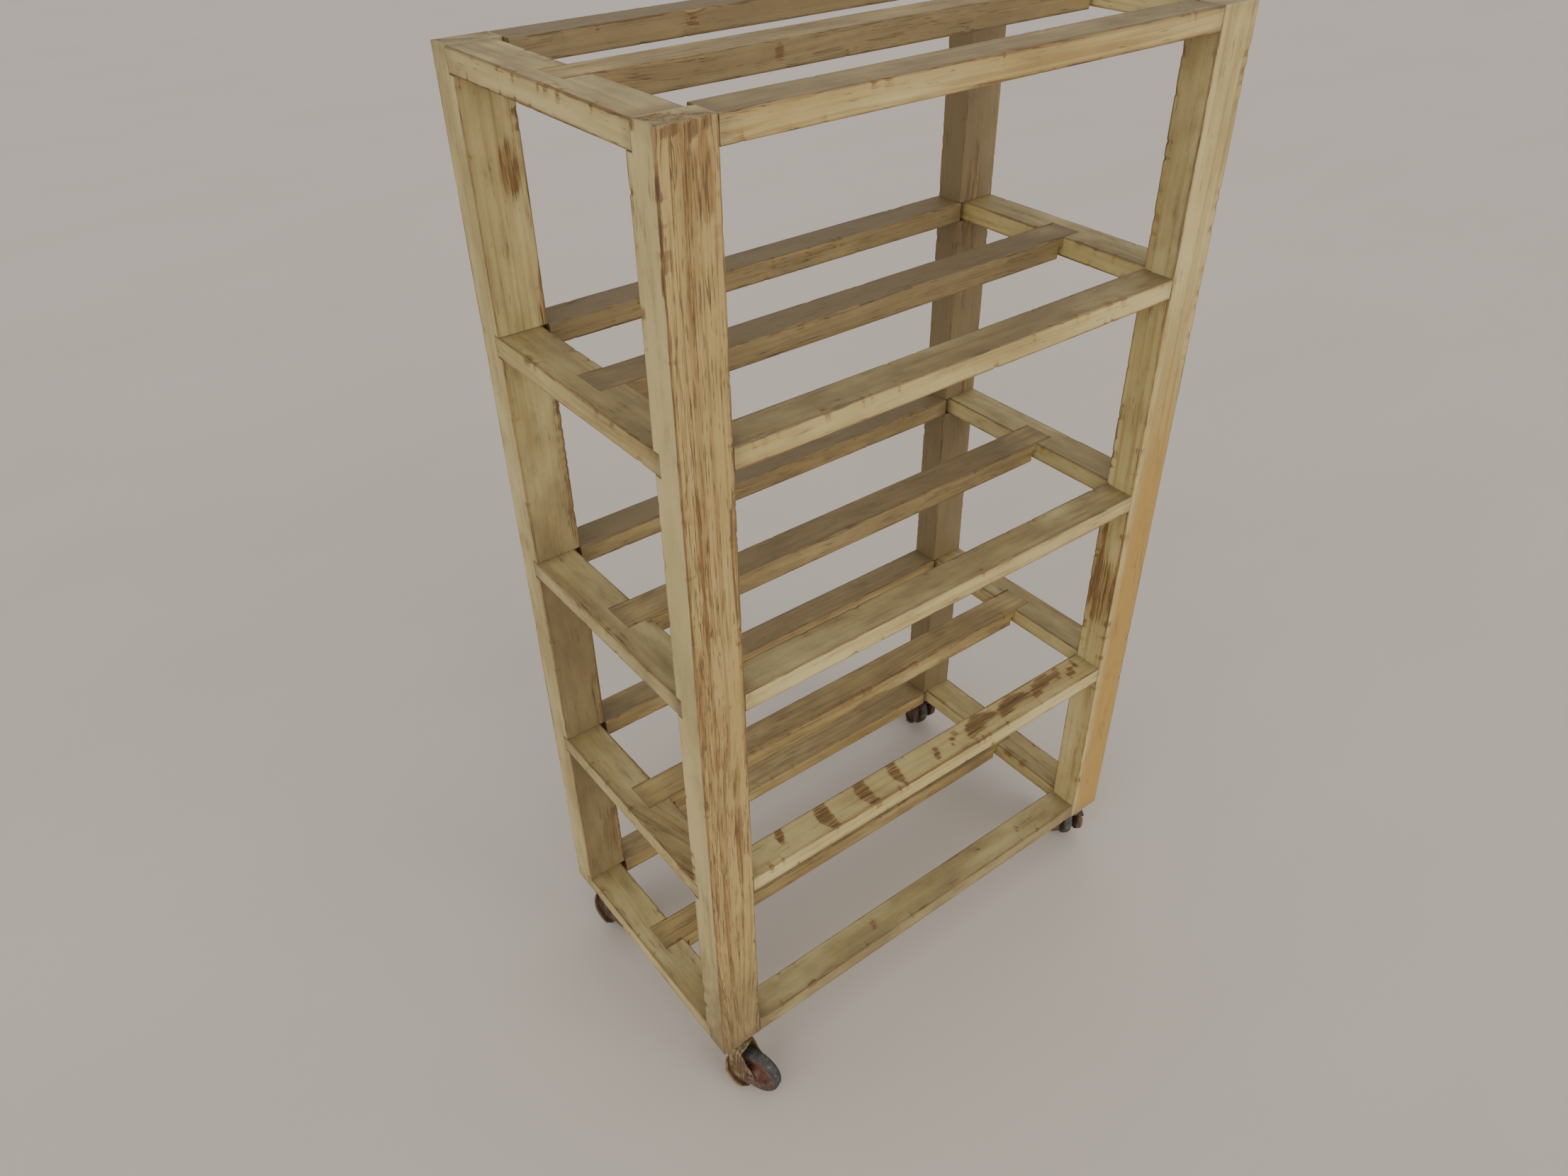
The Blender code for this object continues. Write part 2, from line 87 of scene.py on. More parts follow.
# Places of lost paint and of dark marks, as board() takes them.
POST_SPOTS = {
    "front_left": ((0.92, 0.42, -1, 0.034, 0.0085, 0.34), (0.32, 0.95, -1, 0.080, 0.0080, 0.42),
                   (-0.35, 0.6, -1, 0.06, 0.012, 0.16)),
    "front_right": ((-0.25, -1, 0, 0.055, 0.022, 0.34), (-0.12, -1, 0.5, 0.05, 0.008, 0.26)),
    "back_left": ((0.80, 0.45, -1, 0.030, 0.011, 0.36), (0.46, 0.95, -1, 0.090, 0.007, 0.44),
                  (0.13, 0.9, -1, 0.050, 0.008, 0.40), (-0.40, 0.9, -1, 0.080, 0.010, 0.38),
                  (-0.82, 0.5, -1, 0.050, 0.014, 0.30)),
    "back_right": ((0.45, -0.3, -1, 0.12, 0.014, 0.28), (0.0, 0.2, -1, 0.08, 0.014, 0.20)),
}
NEAR_POST_MARKS = (
    (0.925, -1, -1, 0.011, 0.0022, 1.3), (0.865, -1, -1, 0.018, 0.0018, 1.2),
    (0.80, -1, -0.9, 0.012, 0.0020, 1.1), (0.992, -0.5, -1, 0.005, 0.0040, 1.2),
    (0.988, 0.15, -1, 0.008, 0.0026, 1.2), (0.994, 0.62, -1, 0.004, 0.0034, 1.1),
    (0.994, -1, 0.35, 0.005, 0.0036, 1.0))
SLAT_KNOT = -0.123       # metres from the middle of the top level's slat
BACK_RAIL_KNOT = -0.104  # and of its back rail

# Fork: mid-surface of the pressed sheet, in the caster's own axes (along the trail, across, up).
SHEET = 0.0025
LEG_MID = 0.01575
CROWN_MID = 0.08175
BEND_RADIUS = 0.00375
CROWN_FRONT = -0.017
CROWN_REAR = 0.023
LEG_CENTRE = (0.022, 0.038)
LEG_RADIUS = 0.0215
EYE = (0.036, 0.0375)
FLANGE_RIM = 0.0245
FLANGE_TOP = 0.063
REAR_EDGE = ((0.0160, 0.0235), (0.0175, 0.0295), (0.0190, 0.0330), (0.0211, 0.0361), (0.0317, 0.0427),
             (0.0375, 0.0448), (0.0427, 0.0434), (0.0530, 0.0360), (0.0620, 0.0290), (0.0790, 0.0240))


# ---------------------------------------------------------------- noise

def hashed(cells, seed):
    """A repeatable number from 0 to 1 for each whole-numbered cell."""
    x = cells.astype(np.int64).astype(np.uint32)
    h = x[:, 0] * np.uint32(374761393) + x[:, 1] * np.uint32(668265263) + x[:, 2] * np.uint32(2147483647)
    h = h + np.uint32(seed * 1274126177 % 4294967296)
    h = (h ^ (h >> np.uint32(13))) * np.uint32(1274126177)
    h = (h ^ (h >> np.uint32(16))) * np.uint32(2246822519)
    h = h ^ (h >> np.uint32(13))
    return h.astype(np.float64) / 4294967295.0


def value_noise(points, seed):
    base = np.floor(points)
    part = points - base
    part = part * part * (3 - 2 * part)
    total = np.zeros(len(points))
    for corner in range(8):
        step = np.array([corner & 1, (corner >> 1) & 1, (corner >> 2) & 1])
        weight = np.prod(np.where(step == 1, part, 1 - part), axis=1)
        total += weight * hashed(base + step, seed)
    return total


def smooth(low, high, value):
    t = np.clip((value - low) / (high - low), 0, 1)
    return t * t * (3 - 2 * t)


def settle(item, body, node):
    """The piece rides on its body and stands for its CAD node, which is hidden."""
    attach(item, body)
    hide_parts(node)


# ---------------------------------------------------------------- timber

def span(low, high, step, marks=()):
    """Evenly spaced stations from low to high, with each mark doubled so that a step can fall there."""
    stations = list(np.linspace(low, high, max(2, int(round((high - low) / step)) + 1)))
    for mark in marks:
        stations = [s for s in stations if abs(s - mark) > step * 0.3 or s in (low, high)]
        stations += [mark - 2e-5, mark + 2e-5]
    return sorted(stations)


def ring_profile(half_a, half_b, breaks_a=()):
    """A rectangle's outline, dense beside its corners, as (a, b) points."""
    def side(half, breaks=()):
        near = [0.0, 0.0008, 0.0018, 0.0032, 0.0055]
        marks = [-half + d for d in near] + [half - d for d in near]
        middle = np.linspace(-half + 0.0055, half - 0.0055, max(2, int(2 * half / PROFILE_STEP)))
        marks += list(middle[1:-1])
        for at in breaks:
            marks = [m for m in marks if abs(m - at) > 0.0007]
            marks += [at - 2e-5, at + 2e-5]
        return sorted(marks)
    along_a, along_b = side(half_a, breaks_a), side(half_b)
    points = [(a, -half_b) for a in along_a[:-1]]
    points += [(half_a, b) for b in along_b[:-1]]
    points += [(a, half_b) for a in along_a[::-1][:-1]]
    points += [(-half_a, b) for b in along_b[::-1][:-1]]
    return np.array(points)


def bend_grain(points, seed, name):
    """Grain coordinates: the lines wander, and gather towards the foot of the near post."""
    bent = points.copy()
    for axis in (1, 2):
        at = np.stack([points[:, 0] * 5.5, np.full(len(points), axis * 3.3), points[:, axis] * 14], 1)
        bent[:, axis] += 0.010 * (value_noise(at, seed + 40) - 0.5)
    if name == "worn_post_front_left":
        gather = 0.42 + 0.58 * smooth(-0.60, -0.34, points[:, 0])
        bent[:, 1] = (bent[:, 1] - 0.004) / gather + 0.004
    if name == "worn_level4_left_end_rail":
        bent[:, 1] += 0.24 * np.minimum(bent[:, 0], 0)
    return bent


def board(name, centre, axes, half, material, seed, wear, stain_and_shade, marks=(), breaks=(), clamp=None,
          step=ROW_STEP, chips=0.5, spots=(), knots=(), extra=None, added_grime_and_shade=None, dust=0.0, tan=0.0):
    """A worn timber. axes gives the world axis of its length, width and thickness.

    spots are places where paint is lost: (along, width side, thickness side, radius along, radius
    across, strength) in fractions of the half sizes, except the radii, which are in metres. knots
    are dark and given in the same way. extra changes the lost paint and the golden tone at each
    point, the extra darkening function adds dirt and, on the back left post, painted shade, and
    clamp cuts the housings and laps. The stain amount is dirt together with painted shade, and
    dust makes the top face darker.
    """
    length, width, thick = half
    stations = span(-length, length, step, marks)
    profile = ring_profile(width, thick, breaks)
    count, around = len(stations), len(profile)
    local = np.empty((count, around, 3))
    local[:, :, 0] = np.array(stations)[:, None]
    local[:, :, 1:] = profile[None]
    local = local.reshape(-1, 3)
    sharp = local.copy()

    # Each long edge is worn to its own radius, which varies along it and jumps where it is chipped.
    sign_w, sign_t = np.sign(local[:, 1]), np.sign(local[:, 2])
    edge_id = (sign_w > 0) * 2 + (sign_t > 0) * 1
    at = np.stack([local[:, 0] * 38, edge_id * 9.7 + 0.5, np.full(len(local), 0.5)], 1)
    slow = value_noise(at * np.array([0.35, 1, 1]), seed)
    quick = value_noise(at * np.array([4.6, 1, 1]), seed + 11)
    burst = smooth(0.82 - 0.22 * chips, 0.95 - 0.18 * chips, quick) * smooth(0.30, 0.62, slow)
    radius = ARRIS_MIN + (ARRIS_MAX - ARRIS_MIN) * slow + CHIP_DEPTH * burst
    in_w = width - np.abs(local[:, 1])
    in_t = thick - np.abs(local[:, 2])
    near = (in_w < radius) & (in_t < radius)
    offset = np.stack([radius - in_w, radius - in_t], 1)
    reach = np.linalg.norm(offset, axis=1)
    pull = near & (reach > radius)
    scale = np.where(pull, radius / np.maximum(reach, 1e-9), 1.0)
    local[:, 1] = np.where(pull, sign_w * (width - radius + offset[:, 0] * scale), local[:, 1])
    local[:, 2] = np.where(pull, sign_t * (thick - radius + offset[:, 1] * scale), local[:, 2])

    # The faces dip a little, never out.
    dip = value_noise(np.stack([sharp[:, 0] * 21, sharp[:, 1] * 90, sharp[:, 2] * 90], 1), seed + 3)
    face_w = (in_t > 0.004) & (in_w < 1e-6)
    face_t = (in_w > 0.004) & (in_t < 1e-6)
    local[:, 1] -= np.where(face_w, sign_w * FACE_DIP * dip, 0)
    local[:, 2] -= np.where(face_t, sign_t * FACE_DIP * dip, 0)

    edge = in_w + in_t
    lost = wear + 0.36 * burst * smooth(0.012, 0.001, edge) + 0.27 * smooth(0.0042, 0.0, edge)
    for along, side_w, side_t, r_along, r_across, strength in spots:
        d = ((sharp[:, 0] - along * length) / r_along) ** 2
        d += ((sharp[:, 1] - side_w * width) / r_across) ** 2
        d += ((sharp[:, 2] - side_t * thick) / r_across) ** 2
        lost += strength * smooth(1.6, 0.2, d)
    lost = np.minimum(lost, 1.0)
    bent = bend_grain(sharp, seed, name)
    # Faces turned away from the camera (towards +x and +y) keep only a quarter of the stain, which holds painted
    # shade as well as dirt.
    unseen = np.zeros(len(local))
    for side in (axes.index(0), axes.index(1)):
        if side:
            unseen = np.maximum(unseen, smooth(0.004, 0.0, half[side] - sharp[:, side]))
    grime_and_shade = stain_and_shade * (1 - 0.75 * unseen) + 0.22 * smooth(length - 0.025, length, np.abs(sharp[:, 0]))
    grime_and_shade += 0.32 * smooth(0.0030, 0.0, edge)
    # The top face is made darker by the dust amount, and lighter where that amount is negative.
    if axes[2] == 2:
        grime_and_shade += dust * smooth(0.0022, 0.0, thick - sharp[:, 2])
    lost = np.where(np.abs(sharp[:, 0]) > length - 1e-6, lost - 0.08, lost)
    golden = np.full(len(local), tan)
    if extra is not None:
        lost, golden = extra(sharp, lost, golden)
    for along, side_w, side_t, r_along, r_across, strength in knots:
        offset = sharp - np.array([along * length, side_w * width, side_t * thick])
        d = (offset[:, 0] / r_along) ** 2 + ((offset[:, 1:] / r_across) ** 2).sum(1)
        lost += strength * smooth(1.5, 0.3, d)
        bent[:, 1:] += offset[:, 1:] * 0.55 * np.exp(-d / 5)[:, None]
    if added_grime_and_shade is not None:
        grime_and_shade = grime_and_shade + added_grime_and_shade(sharp)
    if clamp is not None:
        local = clamp(sharp, local)

    bm = bmesh.new()
    move = Matrix([[1 if axes[k] == i else 0 for k in range(3)] for i in range(3)])
    place = np.array(move) @ local.T
    world = place.T + np.array(centre)
    verts = [bm.verts.new(p) for p in world]
    rows = [verts[i * around:(i + 1) * around] for i in range(count)]
    for lower, upper in zip(rows, rows[1:]):
        for j in range(around):
            k = (j + 1) % around
            bm.faces.new((lower[j], lower[k], upper[k], upper[j]))
    fields = [bent + np.array([3.7, 1.3, 0.9]) * seed, lost, grime_and_shade, golden]
    for row, sign in ((rows[0], -1), (rows[-1], 1)):
        index = 0 if sign < 0 else count - 1
        base = np.arange(index * around, (index + 1) * around)
        previous = row
        for shrink in (0.9985, 0.9):
            inset = local[base].copy()
            inset[:, 1:] *= shrink
            ring_world = (np.array(move) @ inset.T).T + np.array(centre)
            ring = [bm.verts.new(p) for p in ring_world]
            fields[0] = np.vstack([fields[0], inset + np.array([3.7, 1.3, 0.9]) * seed])
            fields[1] = np.append(fields[1], lost[base])
            fields[2] = np.append(fields[2], grime_and_shade[base] + 0.1)
            fields[3] = np.append(fields[3], golden[base])
            for j in range(around):
                k = (j + 1) % around
                bm.faces.new((previous[j], previous[k], ring[k], ring[j]))
            previous = ring
        bm.faces.new(previous)
    mesh = bpy.data.meshes.new(name)
    bm.verts.index_update()
    coords = bm.verts.layers.float_vector.new("board")
    layers = [bm.verts.layers.float.new(field) for field in ("wear", "stain_and_shade", "golden")]
    for vertex, where, *values in zip(bm.verts, *fields):
        vertex[coords] = where
        for layer, value in zip(layers, values):
            vertex[layer] = float(value)
    bmesh.ops.remove_doubles(bm, verts=bm.verts, dist=8e-6)
    bmesh.ops.dissolve_degenerate(bm, edges=bm.edges, dist=4e-6)
    bmesh.ops.recalc_face_normals(bm, faces=bm.faces)
    bm.to_mesh(mesh)
    bm.free()
    mesh.materials.append(material)
    mesh.shade_smooth()
    mesh.set_sharp_from_angle(angle=math.radians(48))
    item = bpy.data.objects.new(name, mesh)
    bpy.context.scene.collection.objects.link(item)
    return item


# ---------------------------------------------------------------- materials

class Graph:
    """Short calls for building a node material."""

    def __init__(self, name):
        self.material = bpy.data.materials.new(name)
        self.material.use_nodes = True
        self.tree = self.material.node_tree
        self.shader = self.tree.nodes["Principled BSDF"]

    def put(self, socket, value):
        if isinstance(value, bpy.types.NodeSocket):
            self.tree.links.new(value, socket)
        else:
            socket.default_value = value

    def attribute(self, name, output):
        node = self.tree.nodes.new("ShaderNodeAttribute")
        node.attribute_name = name
        return node.outputs[output]

    def coordinates(self):
        return self.tree.nodes.new("ShaderNodeTexCoord").outputs["Object"]

    def stretch(self, vector, scale):
        node = self.tree.nodes.new("ShaderNodeMapping")
        self.put(node.inputs["Vector"], vector)
        node.inputs["Scale"].default_value = scale
        return node.outputs["Vector"]

    def noise(self, vector, scale=1.0, detail=4.0, roughness=0.55, distortion=0.0):
        node = self.tree.nodes.new("ShaderNodeTexNoise")
        self.put(node.inputs["Vector"], vector)
        node.inputs["Scale"].default_value = scale
        node.inputs["Detail"].default_value = detail
        node.inputs["Roughness"].default_value = roughness
        node.inputs["Distortion"].default_value = distortion
        return node.outputs[0]

    def math(self, operation, a, b=0.0, c=0.0):
        node = self.tree.nodes.new("ShaderNodeMath")
        node.operation = operation
        for socket, value in zip(node.inputs, (a, b, c)):
            self.put(socket, value)
        return node.outputs[0]

    def smooth(self, value, low, high):
        node = self.tree.nodes.new("ShaderNodeMapRange")
        node.interpolation_type = "SMOOTHSTEP"
        self.put(node.inputs["Value"], value)
        node.inputs["From Min"].default_value = low
        node.inputs["From Max"].default_value = high
        return node.outputs[0]

    def mix(self, factor, a, b, blend="MIX"):
        node = self.tree.nodes.new("ShaderNodeMix")
        node.data_type = "RGBA"
        node.blend_type = blend
        self.put(node.inputs["Factor"], factor)
        self.put(node.inputs[6], a if isinstance(a, bpy.types.NodeSocket) else (*a, 1))
        self.put(node.inputs[7], b if isinstance(b, bpy.types.NodeSocket) else (*b, 1))
        return node.outputs[2]

    def bump(self, height, distance, strength=1.0, normal=None):
        node = self.tree.nodes.new("ShaderNodeBump")
        self.put(node.inputs["Height"], height)
        node.inputs["Distance"].default_value = distance
        node.inputs["Strength"].default_value = strength
        if normal is not None:
            self.put(node.inputs["Normal"], normal)
        return node.outputs[0]

    def finish(self, colour, roughness, normal=None, metallic=0.0):
        self.put(self.shader.inputs["Base Color"], colour)
        self.put(self.shader.inputs["Roughness"], roughness)
        self.put(self.shader.inputs["Metallic"], metallic)
        if normal is not None:
            self.put(self.shader.inputs["Normal"], normal)
        return self.material


def painted_wood():
    """Thin cream paint, brushed, cracked along the grain and worn through to streaky softwood."""
    g = Graph("worn_painted_softwood")
    where = g.attribute("board", "Vector")
    wear = g.attribute("wear", "Fac")
    stain_and_shade = g.attribute("stain_and_shade", "Fac")
    golden = g.attribute("golden", "Fac")
    broad = g.noise(g.stretch(where, (5, 13, 13)), detail=3)
    blotch = g.noise(g.stretch(where, (19, 55, 55)), detail=5, roughness=0.6)
    streak = g.noise(g.stretch(where, (3.2, 170, 170)), detail=3, roughness=0.45, distortion=0.15)
    fibre = g.noise(g.stretch(where, (22, 700, 700)), detail=4, roughness=0.6)
    rings = g.noise(g.stretch(where, (1.3, 165, 165)), detail=1, roughness=0.4, distortion=0.35)
    speck = g.noise(g.stretch(where, (34, 430, 430)), detail=2, roughness=0.5)
    split = g.noise(g.stretch(where, (5, 250, 250)), detail=2, roughness=0.5)

    bare = g.math("MULTIPLY_ADD", streak, 0.80, wear)
    bare = g.math("MULTIPLY_ADD", blotch, 0.55, bare)
    bare = g.math("MULTIPLY_ADD", speck, 0.22, bare)
    bare = g.smooth(bare, 1.06, 1.20)
    wash = g.math("MULTIPLY_ADD", broad, 0.55, g.math("MULTIPLY_ADD", streak, 0.55, g.math("ADD", wear, golden)))
    wash = g.smooth(wash, 0.58, 0.98)
    crack = g.math("ABSOLUTE", g.math("SUBTRACT", split, 0.5))
    crack = g.math("SUBTRACT", 1.0, g.smooth(crack, 0.003, 0.018))
    cracked = g.math("MULTIPLY_ADD", wear, 1.1, blotch)
    crack = g.math("MULTIPLY", crack, g.smooth(cracked, 0.60, 0.86))
    pit = g.smooth(g.math("MULTIPLY_ADD", wear, 0.40, speck), 0.70, 0.78)
    knot = g.smooth(wear, 1.08, 1.60)

    wood = g.mix(g.smooth(rings, 0.42, 0.60), (0.330, 0.218, 0.080), (0.210, 0.116, 0.036))
    wood = g.mix(g.math("MULTIPLY", g.smooth(fibre, 0.45, 0.7), 0.45), wood, (0.160, 0.086, 0.028))
    wood = g.mix(g.math("MULTIPLY", g.smooth(broad, 0.48, 0.66), 0.40), wood, (0.285, 0.165, 0.058))
    paint = g.mix(g.smooth(broad, 0.35, 0.65), (0.515, 0.425, 0.195), (0.445, 0.362, 0.148))
    paint = g.mix(g.math("MULTIPLY", g.smooth(blotch, 0.5, 0.72), 0.35), paint, (0.385, 0.290, 0.125))
    paint = g.mix(g.math("MULTIPLY", g.smooth(broad, 0.54, 0.70), 0.25), paint, (0.34, 0.335, 0.165))
    paint = g.mix(g.math("MULTIPLY", wash, 0.62), paint, (0.335, 0.215, 0.068))
    lines = g.math("MULTIPLY", g.smooth(rings, 0.50, 0.60), wash)
    paint = g.mix(g.math("MULTIPLY", lines, 0.50), paint, (0.215, 0.122, 0.036))
    tanned = g.math("MULTIPLY", g.smooth(golden, 0.15, 0.80), 0.92)
    paint = g.mix(tanned, paint, (0.370, 0.222, 0.050))
    # The dirt darkening follows the stain attribute, which holds painted shade as well as dirt.
    dirt_and_shade = g.math("MULTIPLY_ADD", blotch, 0.50, g.math("MULTIPLY_ADD", broad, 0.35, stain_and_shade))
    dirt_and_shade = g.math("MULTIPLY", g.smooth(dirt_and_shade, 0.42, 1.15), 0.86)
    paint = g.mix(dirt_and_shade, paint, (0.160, 0.113, 0.050))
    colour = g.mix(bare, paint, wood)
    colour = g.mix(g.math("MULTIPLY", dirt_and_shade, 0.40), colour, (0.150, 0.105, 0.050))
    colour = g.mix(g.math("MULTIPLY", crack, 0.75), colour, (0.078, 0.040, 0.015))
    colour = g.mix(g.math("MULTIPLY", pit, 0.55), colour, (0.100, 0.056, 0.021))
    colour = g.mix(g.math("MULTIPLY", knot, 0.85), colour, (0.075, 0.036, 0.014))
    rough = g.math("MULTIPLY_ADD", bare, 0.2, g.math("MULTIPLY_ADD", blotch, 0.22, 0.46))

    height = g.math("MULTIPLY_ADD", bare, -1.0, g.math("MULTIPLY", fibre, 0.30))
    height = g.math("MULTIPLY_ADD", streak, 0.5, height)
    height = g.math("MULTIPLY_ADD", crack, -1.2, height)
    height = g.math("MULTIPLY_ADD", pit, -0.6, height)
    return g.finish(colour, rough, g.bump(height, 0.0005, 0.85))


def painted_steel():
    """Old cream paint on the forks: brown where dirt lies in the groove, pale along the rim, and darkened all
    over on the three casters other than the near one by dirt and painted shade.
    """
    g = Graph("worn_painted_steel")
    where = g.coordinates()
    rim = g.attribute("rim", "Fac")
    blotch = g.noise(g.stretch(where, (90, 90, 90)), detail=5)
    runs = g.noise(g.stretch(where, (300, 300, 32)), detail=3, distortion=0.2)
    rust = g.math("MULTIPLY_ADD", runs, 0.9, g.math("MULTIPLY", blotch, 0.4))
    rust = g.smooth(g.math("MULTIPLY_ADD", rim, -0.22, rust), 0.50, 0.66)
    paint = g.mix(g.smooth(blotch, 0.35, 0.7), (0.270, 0.205, 0.090), (0.170, 0.112, 0.045))
    colour = g.mix(g.math("MULTIPLY", rust, 0.80), paint, (0.090, 0.047, 0.020))
    grimy_and_shaded = g.mix(rust, (0.095, 0.045, 0.028), (0.048, 0.024, 0.016))
    colour = g.mix(g.attribute("soiled_and_shaded", "Fac"), colour, grimy_and_shaded)
    rough = g.math("MULTIPLY_ADD", rust, 0.25, 0.50)
    return g.finish(colour, rough, g.bump(g.math("MULTIPLY_ADD", rust, -0.5, blotch), 0.0003, 0.6))


def metal(name, light, dark, scale, metallic):
    g = Graph(name)
    where = g.coordinates()
    spots = g.noise(g.stretch(where, (scale,) * 3), detail=6, roughness=0.65)
    fine = g.noise(g.stretch(where, (scale * 6,) * 3), detail=3)
    rust = g.smooth(spots, 0.46, 0.62)
    colour = g.mix(rust, light, dark)
    rough = g.math("MULTIPLY_ADD", rust, 0.35, 0.36)
    shine = g.math("MULTIPLY_ADD", rust, -metallic * 0.8, metallic)
    return g.finish(colour, rough, g.bump(g.math("ADD", spots, fine), 0.0003, 0.5), shine)


def wheel_disc():
    g = Graph("red_brown_disc")
    where = g.coordinates()
    spots = g.noise(g.stretch(where, (90, 90, 90)), detail=6, roughness=0.65)
    dust = g.noise(g.stretch(where, (260, 260, 260)), detail=4)
    colour = g.mix(g.smooth(spots, 0.4, 0.65), (0.128, 0.044, 0.028), (0.070, 0.028, 0.019))
    colour = g.mix(g.math("MULTIPLY", g.smooth(dust, 0.52, 0.7), 0.30), colour, (0.16, 0.105, 0.07))
    return g.finish(colour, g.math("MULTIPLY_ADD", spots, 0.3, 0.45), g.bump(spots, 0.0004, 0.5))


def tyre_rubber():
    """Dusty dark grey tread, with side faces browned by rust from the disc."""
    g = Graph("dusty_grey_rubber")
    where = g.coordinates()
    radius = g.attribute("radius", "Fac")
    scuff = g.noise(g.stretch(where, (110, 110, 110)), detail=6, roughness=0.65)
    fine = g.noise(g.stretch(where, (700, 700, 700)), detail=3)
    colour = g.mix(g.smooth(scuff, 0.40, 0.68), (0.020, 0.022, 0.025), (0.060, 0.056, 0.048))
    colour = g.mix(g.math("MULTIPLY", g.smooth(fine, 0.5, 0.75), 0.30), colour, (0.125, 0.108, 0.084))
    rubbed = g.noise(g.stretch(where, (60, 60, 60)), detail=3, distortion=1.2)
    colour = g.mix(g.math("MULTIPLY", g.smooth(rubbed, 0.52, 0.66), 0.55), colour, (0.125, 0.118, 0.100))
    side = g.math("SUBTRACT", 1.0, g.smooth(radius, 0.0320, 0.0355))
    rust = g.mix(g.smooth(scuff, 0.40, 0.65), (0.075, 0.038, 0.023), (0.150, 0.095, 0.055))
    colour = g.mix(g.math("MULTIPLY", side, 0.85), colour, rust)
    height = g.math("MULTIPLY_ADD", fine, 0.4, scuff)
    return g.finish(colour, g.math("MULTIPLY_ADD", scuff, 0.25, 0.55), g.bump(height, 0.0004, 0.6))


WOOD = painted_wood()
FORK = painted_steel()
ZINC = metal("stained_zinc", (0.30, 0.28, 0.25), (0.060, 0.036, 0.022), 120, 0.8)
STEEL = metal("worn_steel", (0.15, 0.115, 0.09), (0.060, 0.032, 0.020), 180, 0.6)
DISC = wheel_disc()
RUBBER = tyre_rubber()


# ---------------------------------------------------------------- the rack

def near_post_streaks(points, lost, golden):
    """The near post's front face: the paint is worn to streaks over its outer two thirds."""
    front = smooth(-0.0200, -0.0212, points[:, 2])
    wander = 0.004 * np.sin(points[:, 0] * 7.3) + 0.003 * np.sin(points[:, 0] * 17.1)
    outer = smooth(0.016, -0.010, points[:, 1] + wander)
    middle = smooth(0.62, 0.15, np.abs(points[:, 0] + 0.02))
    foot = smooth(-0.30, -0.56, points[:, 0])
    left = smooth(-0.0290, -0.0298, points[:, 1]) * (1 - front)
    lost = lost + front * (0.09 + 0.145 * outer * (0.35 + 0.65 * middle) + 0.05 * foot)
    lost = lost - 0.15 * left * smooth(0.40, 0.15, np.abs(points[:, 0] - 0.05))
    return lost, golden + 0.20 * front * smooth(0.85, 0.5, np.abs(points[:, 0])) + 0.06 * front


def right_post_tan(points, lost, golden):
    """The right post's front face: smoothly tanned below the second level, paler along its inner edge."""
    front = smooth(-0.0200, -0.0212, points[:, 2])
    below = smooth(0.30, -0.10, points[:, 0])
    outer = smooth(-0.024, -0.006, points[:, 1])
    return lost, golden + 0.78 * front * below * outer


def bottom_rail_marks(points, lost, golden):
    """A few short cracks and a bare patch on the lowest front rail."""
    top = smooth(0.0112, 0.0120, points[:, 2])
    for along, across, reach, width in ((0.21, 0.004, 0.012, 0.0016), (0.02, -0.006, 0.010, 0.0014),
                                        (-0.09, 0.002, 0.009, 0.0050), (0.13, 0.010, 0.005, 0.0022)):
        x, y = points[:, 0] - along, points[:, 1] - across
        lost = lost + top * 0.45 * smooth(1.4, 0.3, (y / reach) ** 2 + ((x - 0.4 * y) / width) ** 2)
    return lost, golden


# Bare scallops on the fourth level's front rail: along and across in metres from its centre,
# half length, half width, turn from the rail's direction in degrees, and strength.
SCALLOPS = (
    (-0.250, 0.012, 0.014, 0.0052, 66, 0.62), (-0.184, 0.004, 0.026, 0.0104, 82, 0.70),
    (-0.118, 0.004, 0.027, 0.0100, 82, 0.70), (-0.062, 0.006, 0.023, 0.0082, 76, 0.56),
    (0.006, -0.004, 0.014, 0.0040, 60, 0.55), (0.046, 0.006, 0.017, 0.0026, 35, 0.60),
    (0.094, 0.008, 0.031, 0.0108, 12, 0.95), (0.162, 0.008, 0.033, 0.0104, 6, 0.95),
    (0.222, 0.009, 0.029, 0.0080, 18, 0.80), (0.258, 0.011, 0.012, 0.0044, 50, 0.62),
    (0.276, -0.002, 0.012, 0.0046, 30, 0.62), (0.294, 0.008, 0.010, 0.0036, 80, 0.62))


def scallop_losses(points, lost, golden):
    top = smooth(0.0112, 0.0120, points[:, 2])
    for along, across, reach, width, degrees, strength in SCALLOPS:
        angle = math.radians(degrees)
        x, y = points[:, 0] - along, points[:, 1] - across
        u = x * math.cos(angle) + y * math.sin(angle)
        v = y * math.cos(angle) - x * math.sin(angle) + 9.0 * u**2
        lost = lost + top * 0.88 * strength * smooth(1.55, 0.35, (u / reach) ** 2 + (v / width) ** 2)
    return lost, golden


def post_grime_and_shade(corner):
    """Extra darkening: towards the foot of the near left post; painted shade over the lower part of the back
    left post, which stands behind the near post, on all but its outer face; and on the front right post's inner
    face, above.
    """
    def grime_and_shade(points):
        if corner == "front_left":
            return 0.34 * smooth(-0.34, -0.56, points[:, 0])
        # Painted shade: the back left post is darker below, where the near post shades it.
        if corner == "back_left":
            outer = smooth(-0.0285, -0.0298, points[:, 1])
            return 0.45 * smooth(0.30, -0.08, points[:, 0]) * (1 - outer)
        if corner == "front_right":
            inner = smooth(-0.0290, -0.0298, points[:, 1])
            return 0.24 * inner * smooth(0.20, 0.35, points[:, 0])
        return 0.0
    return grime_and_shade


